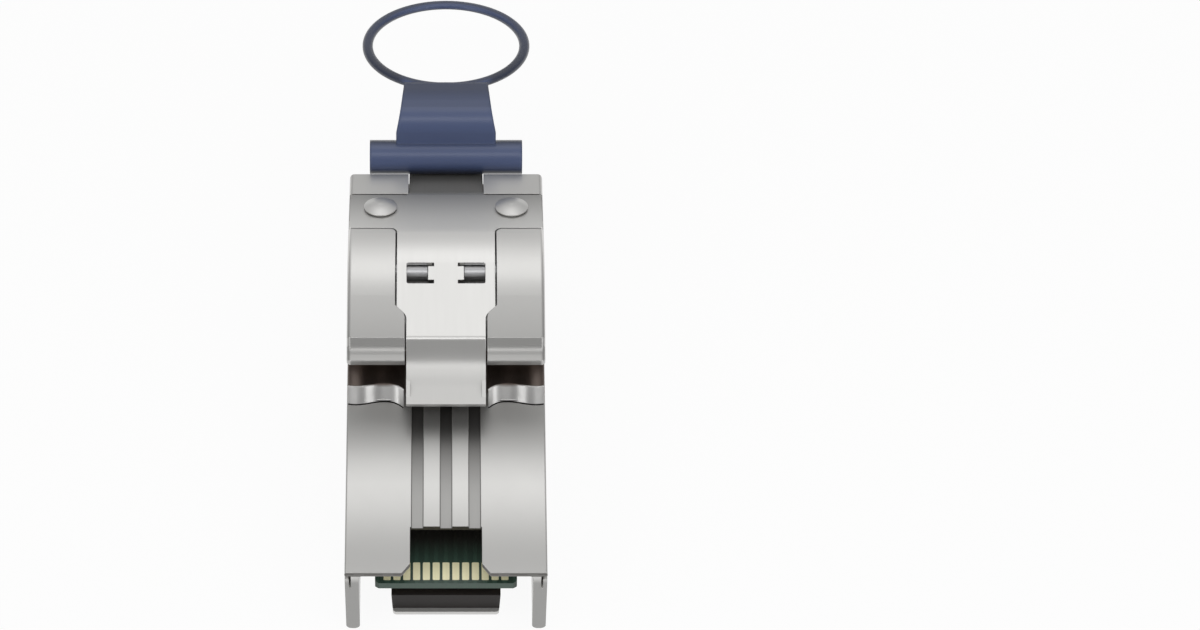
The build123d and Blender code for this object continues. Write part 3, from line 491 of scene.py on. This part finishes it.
def turned_finish(name, rgb, roughness):
    """Turned steel: rings from the tool."""
    material, tree, shader = new_material(name)
    rings = noise(tree, EVEN, 4000, 2)
    rough = spread(tree, rings, roughness - 0.05, roughness + 0.08)
    dress(tree, shader, mottled(tree, rings, rgb, 0.9, 1.1), rough, 1.0)
    bump(tree, shader, rings, 0.000002, 0.00004)
    return material


def insert_finish(name, rgb):
    """Dull moulded plastic: fine spark-eroded grain and slight flow shades."""
    material, tree, shader = new_material(name)
    grain = noise(tree, EVEN, GRAIN_SCALE, 3)
    flow = noise(tree, (1, 0.5, 1), 170, 2)
    dress(tree, shader, mottled(tree, flow, rgb, 0.9, 1.1), spread(tree, grain, 0.46, 0.56))
    shader.inputs["Specular IOR Level"].default_value = 0.25
    bump(tree, shader, grain, 0.000003, 0.00008)
    return material


def tab_finish(name, rgb, high):
    """Glossy moulded plastic, with painted light where faces look up and forward, painted shade at
    the ring's foot.
    """
    material, tree, shader = new_material(name)
    grain = noise(tree, EVEN, GRAIN_SCALE, 3)
    flow = noise(tree, (1, 0.5, 1), 170, 2)
    # Painted light on faces that look up and forward, painted shade on the rest, by the direction
    # that a face looks in the piece itself
    place = tree.nodes.new("ShaderNodeTexCoord")
    outward = tree.nodes.new("ShaderNodeSeparateXYZ")
    unit_normal = vector_calc(tree, "NORMALIZE", place.outputs["Normal"])
    tree.links.new(unit_normal, outward.inputs["Vector"])
    above = calc(tree, "MULTIPLY", outward.outputs["Z"], 0.83)
    behind = calc(tree, "MULTIPLY", outward.outputs["Y"], 0.56)
    painted_light = spread(tree, calc(tree, "SUBTRACT", above, behind), 0, 1, 0.35, 1.0, smooth=True)
    plastic = blended(tree, painted_light, mottled(tree, flow, rgb, 0.38, 0.48), shaded(rgb, 1.55))
    # Painted shade at the foot of the ring: beside the neck, between the bar and the ring's middle
    x, y = place_of(tree)[:2]
    ring = high.x
    beside = spread(tree, calc(tree, "ABSOLUTE", x), 0, 1, 0.47 * ring, 0.56 * ring)
    foot = spread(tree, y, 0.85, 0, high.y - 1.5 * ring, high.y - 0.5 * ring, smooth=True)
    past_bar = calc(tree, "GREATER_THAN", y, high.y - 2.0 * ring)
    plastic = blended(tree, times(tree, foot, beside, past_bar), plastic, shaded(rgb, 0.30))
    dress(tree, shader, plastic, spread(tree, grain, 0.32, 0.42))
    shader.inputs["Coat Weight"].default_value = 0.5
    shader.inputs["Coat Roughness"].default_value = 0.30
    bump(tree, shader, grain, 0.000001, 0.0004)
    return material


def gold_finish(name, rgb):
    """Pale plated gold with faint wiping marks along the length."""
    material, tree, shader = new_material(name)
    marks = noise(tree, (1, 0.08, 1), GRAIN_SCALE, 2)
    rough = spread(tree, marks, 0.32, 0.44)
    dress(tree, shader, mottled(tree, marks, rgb, 0.92, 1.06), rough, 0.15)
    bump(tree, shader, marks, SHEET_GRAIN_DEPTH)
    return material


def board_finish(name, mask, laminate, shade_from, shade_full):
    """Green solder mask over copper traces, with painted shade behind the contacts."""
    material, tree, shader = new_material(name)
    x, y = place_of(tree)[:2]
    weave = noise(tree, EVEN, 2600, 2)
    half = CONTACT_PITCH / 2
    phase = calc(tree, "PINGPONG", calc(tree, "ADD", x, half), half)
    trace_from, trace_to = 0.27 * CONTACT_PITCH, 0.33 * CONTACT_PITCH
    trace = spread(tree, phase, 0, 1, trace_from, trace_to, smooth=True)
    coated = mottled(tree, trace, mask, 0.9, 1.25)
    cut_edge = mottled(tree, weave, laminate, 0.7, 1.2)
    geometry = tree.nodes.new("ShaderNodeNewGeometry")
    normal = tree.nodes.new("ShaderNodeSeparateXYZ")
    tree.links.new(geometry.outputs["True Normal"], normal.inputs["Vector"])
    board = blended(tree, calc(tree, "ABSOLUTE", normal.outputs["Z"]), cut_edge, coated)
    # Painted shade on the card behind the contacts
    under_shade = spread(tree, y, 0, 0.93, shade_from, shade_full, smooth=True)
    shade_covered = blended(tree, under_shade, board, CARD_SHADE)
    dress(tree, shader, shade_covered, spread(tree, weave, 0.30, 0.38))
    bump(tree, shader, trace, 0.00001)
    return material


def give(node_name, material):
    """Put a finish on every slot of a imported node."""
    mesh = nodes[node_name].data
    if not mesh.materials:
        mesh.materials.append(material)
    for index in range(len(mesh.materials)):
        mesh.materials[index] = material


# Geometry node helpers


def new_tree(name, inputs):
    """A geometry tree with a geometry output and named inputs."""
    tree = bpy.data.node_groups.new(name, "GeometryNodeTree")
    for label, socket_type in inputs:
        tree.interface.new_socket(label, in_out="INPUT", socket_type=socket_type)
    tree.interface.new_socket("Geometry", in_out="OUTPUT", socket_type="NodeSocketGeometry")
    return tree, tree.nodes.new("NodeGroupInput"), tree.nodes.new("NodeGroupOutput")


def grown_mesh(name, tree, values):
    """Run a tree on an empty mesh and give the result as a plain object."""
    holder = bpy.data.objects.new(name + "_rule", bpy.data.meshes.new(name + "_rule"))
    bpy.context.scene.collection.objects.link(holder)
    modifier = holder.modifiers.new("rule", "NODES")
    modifier.node_group = tree
    for item in tree.interface.items_tree:
        if item.item_type == "SOCKET" and item.in_out == "INPUT" and item.name in values:
            modifier[item.identifier] = values[item.name]
    graph = bpy.context.evaluated_depsgraph_get()
    mesh = bpy.data.meshes.new_from_object(holder.evaluated_get(graph), depsgraph=graph)
    holder.modifiers.remove(modifier)
    bpy.data.objects.remove(holder)
    mesh.name = name
    piece = bpy.data.objects.new(name, mesh)
    bpy.context.scene.collection.objects.link(piece)
    return piece


def smooth_by_angle(mesh, degrees=35):
    """Smooth faces, with edges over an angle kept sharp."""
    work = bmesh.new()
    work.from_mesh(mesh)
    bmesh.ops.recalc_face_normals(work, faces=work.faces)
    for face in work.faces:
        face.smooth = True
    for edge in work.edges:
        edge.smooth = len(edge.link_faces) == 2 and edge.calc_face_angle(0) < radians(degrees)
    work.to_mesh(mesh)
    work.free()


def pad_tree(material):
    """A row of thin pads with rounded corners."""
    tree, inputs, output = new_tree(
        "pad_row",
        [
            ("Count", "NodeSocketInt"),
            ("Pitch", "NodeSocketFloat"),
            ("Width", "NodeSocketFloat"),
            ("Length", "NodeSocketFloat"),
            ("Thickness", "NodeSocketFloat"),
            ("Corner", "NodeSocketFloat"),
            ("Start", "NodeSocketVector"),
        ],
    )
    add, link = tree.nodes.new, tree.links.new
    outline = add("GeometryNodeCurvePrimitiveQuadrilateral")
    link(inputs.outputs["Width"], outline.inputs["Width"])
    link(inputs.outputs["Length"], outline.inputs["Height"])
    rounded = add("GeometryNodeFilletCurve")
    rounded.mode = "POLY"
    rounded.inputs["Count"].default_value = 4
    link(outline.outputs["Curve"], rounded.inputs["Curve"])
    link(inputs.outputs["Corner"], rounded.inputs["Radius"])
    filled = add("GeometryNodeFillCurve")
    filled.mode = "NGONS"
    link(rounded.outputs["Curve"], filled.inputs["Curve"])
    raised = add("GeometryNodeExtrudeMesh")
    raised.inputs["Individual"].default_value = False
    link(filled.outputs["Mesh"], raised.inputs["Mesh"])
    link(inputs.outputs["Thickness"], raised.inputs["Offset Scale"])
    base = add("GeometryNodeFlipFaces")
    link(filled.outputs["Mesh"], base.inputs["Mesh"])
    closed = add("GeometryNodeJoinGeometry")
    link(raised.outputs["Mesh"], closed.inputs["Geometry"])
    link(base.outputs["Mesh"], closed.inputs["Geometry"])
    merged = add("GeometryNodeMergeByDistance")
    merged.inputs["Distance"].default_value = 1e-7
    link(closed.outputs["Geometry"], merged.inputs["Geometry"])
    step = add("ShaderNodeCombineXYZ")
    link(inputs.outputs["Pitch"], step.inputs["X"])
    line = add("GeometryNodeMeshLine")
    line.mode = "OFFSET"
    link(inputs.outputs["Count"], line.inputs["Count"])
    link(inputs.outputs["Start"], line.inputs["Start Location"])
    link(step.outputs["Vector"], line.inputs["Offset"])
    placed = add("GeometryNodeInstanceOnPoints")
    link(line.outputs["Mesh"], placed.inputs["Points"])
    link(merged.outputs["Geometry"], placed.inputs["Instance"])
    real = add("GeometryNodeRealizeInstances")
    link(placed.outputs["Instances"], real.inputs["Geometry"])
    finish = add("GeometryNodeSetMaterial")
    finish.inputs["Material"].default_value = material
    link(real.outputs["Geometry"], finish.inputs["Geometry"])
    link(finish.outputs["Geometry"], output.inputs["Geometry"])
    return tree


def pad_row(name, node_name, count, width_share, tree):
    """Pads in the place of a packed row, each a share of the pitch wide."""
    low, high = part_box(node_name)
    pitch = (high.x - low.x) / (count - 1 + width_share)
    width = pitch * width_share
    start = Vector((low.x + width / 2, (low.y + high.y) / 2, low.z))
    piece = grown_mesh(
        name,
        tree,
        {
            "Count": count,
            "Pitch": pitch,
            "Width": width,
            "Length": high.y - low.y,
            "Thickness": high.z - low.z,
            "Corner": bpy.context.scene.cable_end_parts.pad_corner,
            "Start": start,
        },
    )
    smooth_by_angle(piece.data, 30)
    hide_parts(node_name)
    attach(piece, "housing")


# Operators


class CABLEEND_OT_castings(bpy.types.Operator):
    """Plated finish on the two housing shells and the plug nose"""

    bl_idname = "cable_end.castings"
    bl_label = "Castings"

    def execute(self, context):
        metals = context.scene.cable_end_metals
        places = ShellPlaces(
            lip_front=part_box("upper_shell")[0].y,
            band_front=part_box("latch_rivets")[0].y,
            mouth_back=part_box("gasket_spring_left")[1].y + MOUTH_BEHIND_STRIPS,
            mouth_top=MOUTH_HEIGHT,
        )
        shell = cast_finish(
            "plated_zinc",
            metals.cast_colour,
            metals.cast_roughness,
            metals.edge_radius,
            places,
        )
        for name in ("upper_shell", "lower_shell"):
            give(name, shell)
        low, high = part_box("nose_shroud")
        nose = nose_finish(
            "plated_nose",
            metals.cast_colour,
            metals.cast_roughness - 0.03,
            metals.edge_radius,
            low,
            high,
        )
        give("nose_shroud", nose)
        return {"FINISHED"}


class CABLEEND_OT_latch(bpy.types.Operator):
    """Rolled sheet finish on the latch plate, its leaf, the floor plate and the strips"""

    bl_idname = "cable_end.latch"
    bl_label = "Latch and springs"

    def execute(self, context):
        metals = context.scene.cable_end_metals
        sheet = sheet_finish(
            "rolled_sheet",
            metals.sheet_colour,
            metals.sheet_roughness,
            metals.edge_radius,
            band_rear=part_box("latch_rivets")[1].y + BAND_BEHIND_RIVETS,
            tip_rear=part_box("latch_plate")[0].y + TIP_DEPTH,
        )
        for name in ("latch_plate", "floor_plate"):
            give(name, sheet)
        rivets = cast_finish("rivet_steel", metals.sheet_colour, 0.40, metals.edge_radius)
        give("latch_rivets", rivets)
        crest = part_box("gasket_spring_left")[0].y + STRIP_TO_CREST
        strip = strip_finish("bright_strip", metals.strip_colour, 0.33, crest)
        for name in ("gasket_spring_left", "gasket_spring_right"):
            give(name, strip)
        leaf = sheet_finish("leaf_sheet", metals.strip_colour, 0.32, metals.edge_radius)
        self.return_leaf(leaf)
        return {"FINISHED"}

    def return_leaf(self, material):
        """The leaf, cut across in many places along its length."""
        work = bmesh.new()
        work.from_mesh(nodes["return_leaf"].data)
        bmesh.ops.remove_doubles(work, verts=work.verts, dist=1e-6)
        low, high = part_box("return_leaf")
        for step in range(1, LEAF_CUTS):
            place = Vector((0, low.y + (high.y - low.y) * step / LEAF_CUTS, 0))
            whole = work.verts[:] + work.edges[:] + work.faces[:]
            bmesh.ops.bisect_plane(work, geom=whole, plane_co=place, plane_no=(0, 1, 0))
        mesh = bpy.data.meshes.new("sprung_leaf")
        work.to_mesh(mesh)
        work.free()
        mesh.materials.append(material)
        leaf = bpy.data.objects.new("sprung_leaf", mesh)
        bpy.context.scene.collection.objects.link(leaf)
        smooth_by_angle(mesh, 30)
        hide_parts("return_leaf")
        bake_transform(leaf)


class CABLEEND_OT_turned_parts(bpy.types.Operator):
    """Turned steel on the pins, the ferrule and the screws"""

    bl_idname = "cable_end.turned_parts"
    bl_label = "Pins, ferrule and screws"

    def execute(self, context):
        metals = context.scene.cable_end_metals
        steel = turned_finish("turned_steel", metals.steel_colour, 0.35)
        for name in ("pivot_pin", "pivot_sleeves", "tab_pin", "cable_ferrule", "shell_screws"):
            give(name, steel)
        return {"FINISHED"}


class CABLEEND_OT_pull_tab(bpy.types.Operator):
    """Slate blue moulding of the pull tab"""

    bl_idname = "cable_end.pull_tab"
    bl_label = "Pull tab"

    def execute(self, context):
        plastics = context.scene.cable_end_plastics
        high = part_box("pull_tab")[1]
        give("pull_tab", tab_finish("slate_moulding", plastics.tab_colour, high))
        return {"FINISHED"}


class CABLEEND_OT_card(bpy.types.Operator):
    """Board with traces, its four rows of pads and the dark insert under it"""

    bl_idname = "cable_end.card"
    bl_label = "Card and contacts"

    def execute(self, context):
        plastics = context.scene.cable_end_plastics
        parts = context.scene.cable_end_parts
        pads_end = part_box("top_contacts")[1].y
        board = board_finish(
            "green_board",
            plastics.mask_colour,
            plastics.laminate_colour,
            pads_end - 0.2 * MM,
            pads_end + 2.6 * MM,
        )
        give("paddle_card", board)
        give("card_insert", insert_finish("dark_insert", plastics.insert_colour))
        gold = gold_finish("pale_gold", plastics.gold_colour)
        tree = pad_tree(gold)
        contacts = (parts.contact_count, CONTACT_WIDTH_SHARE, tree)
        solder = (parts.solder_count, SOLDER_WIDTH_SHARE, tree)
        pad_row("contact_pads_top", "top_contacts", *contacts)
        pad_row("contact_pads_bottom", "bottom_contacts", *contacts)
        pad_row("solder_pads_top", "top_solder_pads", *solder)
        pad_row("solder_pads_bottom", "bottom_solder_pads", *solder)
        return {"FINISHED"}


def plain_rays(tree):
    """1 for rays from the camera and for those that metal and glass send on."""
    rays = tree.nodes.new("ShaderNodeLightPath")
    plain = calc(tree, "MAXIMUM", rays.outputs["Is Camera Ray"], rays.outputs["Is Glossy Ray"])
    return calc(tree, "MAXIMUM", plain, rays.outputs["Is Transmission Ray"])


def soft_light(name, azimuth, elevation, size, brightness):
    """A soft lamp aimed at the part: azimuth from the front (-Y) towards +X, in degrees.

    Its brightness is that of its face, where a white sheet in full light has 1.
    """
    data = bpy.data.lights.new(name, "AREA")
    data.shape = "RECTANGLE"
    data.size, data.size_y = size
    data.energy = brightness * pi * size[0] * size[1]
    turn, rise = radians(azimuth), radians(elevation)
    towards = Vector((sin(turn) * cos(rise), -cos(turn) * cos(rise), sin(rise)))
    lamp = bpy.data.objects.new(name, data)
    lamp.location = towards * LAMP_DISTANCE
    lamp.rotation_euler = towards.to_track_quat("Z", "Y").to_euler()
    bpy.context.scene.collection.objects.link(lamp)


class CABLEEND_OT_stage(bpy.types.Operator):
    """Pale floor, soft lamps and the camera"""

    bl_idname = "cable_end.stage"
    bl_label = "Stage"

    def execute(self, context):
        scene = context.scene
        studio = scene.cable_end_studio
        self.floor(studio)
        self.world(scene)
        for lamp in LAMPS:
            soft_light(*lamp)
        self.camera(scene, studio)
        scene.view_settings.view_transform = "Standard"
        return {"FINISHED"}

    def floor(self, studio):
        """A wide pale plane under the part, seen white by the camera and in reflections."""
        half = FLOOR_HALF
        mesh = bpy.data.meshes.new("floor")
        corners = [(-half, -half, 0), (half, -half, 0), (half, half, 0), (-half, half, 0)]
        mesh.from_pydata(corners, [], [(0, 1, 2, 3)])
        floor = bpy.data.objects.new("floor", mesh)
        bpy.context.scene.collection.objects.link(floor)
        material, tree, shader = new_material("pale_floor")
        shade = studio.floor_brightness
        shader.inputs["Base Color"].default_value = (shade, shade, shade, 1)
        shader.inputs["Roughness"].default_value = 0.9
        shader.inputs["Specular IOR Level"].default_value = 0.0
        glow = tree.nodes.new("ShaderNodeEmission")
        glow.inputs["Color"].default_value = (1, 1, 1, 1)
        glow.inputs["Strength"].default_value = 1.0
        seen = calc(tree, "MULTIPLY", plain_rays(tree), FLOOR_GLOW)
        mix = tree.nodes.new("ShaderNodeMixShader")
        tree.links.new(seen, mix.inputs["Fac"])
        tree.links.new(shader.outputs["BSDF"], mix.inputs[1])
        tree.links.new(glow.outputs["Emission"], mix.inputs[2])
        output = next(n for n in tree.nodes if n.type == "OUTPUT_MATERIAL")
        tree.links.new(mix.outputs["Shader"], output.inputs["Surface"])
        mesh.materials.append(material)

    def world(self, scene):
        """A pale room with a soft window high behind the part."""
        world = bpy.data.worlds.new("studio_room")
        world.use_nodes = True
        tree = world.node_tree
        tree.nodes.clear()
        output = tree.nodes.new("ShaderNodeOutputWorld")
        place = tree.nodes.new("ShaderNodeTexCoord")
        towards = tree.nodes.new("ShaderNodeVectorMath")
        towards.operation = "DOT_PRODUCT"
        towards.inputs[1].default_value = (0, cos(WINDOW_RISE), sin(WINDOW_RISE))
        tree.links.new(place.outputs["Generated"], towards.inputs[0])
        near_window = towards.outputs["Value"]
        room = spread(tree, near_window, 0.42, 1.0, 0.60, 1.0)
        rim, middle = cos(radians(21)), cos(radians(3))
        window = spread(tree, near_window, 0, 0.92, rim, middle, smooth=True)
        sky = tree.nodes.new("ShaderNodeBackground")
        tree.links.new(calc(tree, "ADD", room, window), sky.inputs["Strength"])
        tree.links.new(sky.outputs["Background"], output.inputs["Surface"])
        scene.world = world

    def camera(self, scene, studio):
        """A long lens at the picture's angle, shifted so that the part stands left of centre."""
        tilt = studio.elevation
        focal_pixels = studio.pixels_per_mm * studio.distance / MM
        front_edge = Vector((0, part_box("nose_shroud")[0].y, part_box("nose_shroud")[1].z))
        ahead = Vector((0, cos(tilt), -sin(tilt)))
        upward = Vector((0, sin(tilt), cos(tilt)))
        drop = (studio.nose_row - PICTURE_HEIGHT / 2) / studio.pixels_per_mm * MM
        data = bpy.data.cameras.new("camera")
        data.sensor_width = 36
        data.lens = focal_pixels * data.sensor_width / PICTURE_WIDTH
        data.shift_x = (PICTURE_WIDTH / 2 - studio.axis_column) / PICTURE_WIDTH
        data.clip_start = 0.01
        data.clip_end = 20
        camera = bpy.data.objects.new("camera", data)
        camera.location = front_edge - ahead * studio.distance + upward * drop
        camera.rotation_euler = (pi / 2 - tilt, 0, 0)
        scene.collection.objects.link(camera)
        scene.camera = camera


class CABLEEND_PT_panel(bpy.types.Panel):
    """Sizes, colours and steps of the cable end"""

    bl_idname = "CABLEEND_PT_panel"
    bl_label = "Cable End"
    bl_space_type = "VIEW_3D"
    bl_region_type = "UI"
    bl_category = "Cable End"

    def draw(self, context):
        layout = self.layout
        for group_name in SETTINGS:
            box = layout.box()
            group = getattr(context.scene, group_name)
            for name in group.__annotations__:
                box.prop(group, name)
        for operator in OPERATORS:
            layout.operator(operator.bl_idname)


SETTINGS = {
    "cable_end_metals": CableEndMetals,
    "cable_end_plastics": CableEndPlastics,
    "cable_end_parts": CableEndParts,
    "cable_end_studio": CableEndStudio,
}
OPERATORS = (
    CABLEEND_OT_castings,
    CABLEEND_OT_latch,
    CABLEEND_OT_turned_parts,
    CABLEEND_OT_pull_tab,
    CABLEEND_OT_card,
    CABLEEND_OT_stage,
)


def register():
    for name, group in SETTINGS.items():
        bpy.utils.register_class(group)
        setattr(bpy.types.Scene, name, PointerProperty(type=group))
    for operator in OPERATORS:
        bpy.utils.register_class(operator)
    bpy.utils.register_class(CABLEEND_PT_panel)


def unregister():
    bpy.utils.unregister_class(CABLEEND_PT_panel)
    for operator in reversed(OPERATORS):
        bpy.utils.unregister_class(operator)
    for name, group in SETTINGS.items():
        delattr(bpy.types.Scene, name)
        bpy.utils.unregister_class(group)


def main():
    register()
    bpy.ops.cable_end.castings()
    bpy.ops.cable_end.latch()
    bpy.ops.cable_end.turned_parts()
    bpy.ops.cable_end.pull_tab()
    bpy.ops.cable_end.card()
    bpy.ops.cable_end.stage()


if __name__ == "__main__":
    main()
